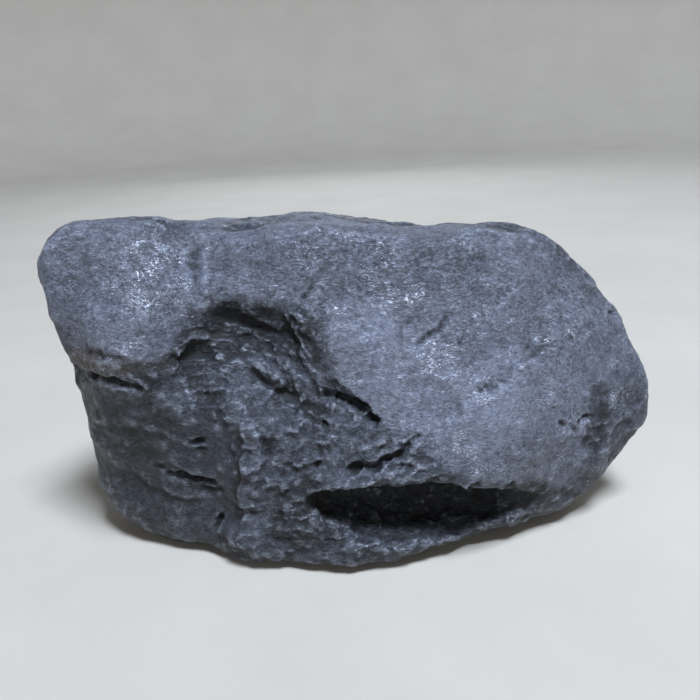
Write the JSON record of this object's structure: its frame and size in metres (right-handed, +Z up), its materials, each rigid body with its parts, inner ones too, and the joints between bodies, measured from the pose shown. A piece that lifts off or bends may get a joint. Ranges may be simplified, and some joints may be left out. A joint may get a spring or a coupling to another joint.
{
  "type": "shungite stone",
  "caption": "Natural lump of black shungite with a broad leaning face, a ledged lobe, a broken hollow and an undercut foot; lies on its flat underside.",
  "frame": {"origin": "middle of the bounding box, on the flat underside", "axes": "+X along the stone's length, away from the ledged lobe; +Y from the broad leaning face to the back; +Z up from the underside"},
  "size_m": [0.216, 0.118, 0.117],
  "materials": {
    "shungite": "satin"
  },
  "bodies": {
    "root": {"shungite_stone": "shungite"}
  },
  "joints": []
}
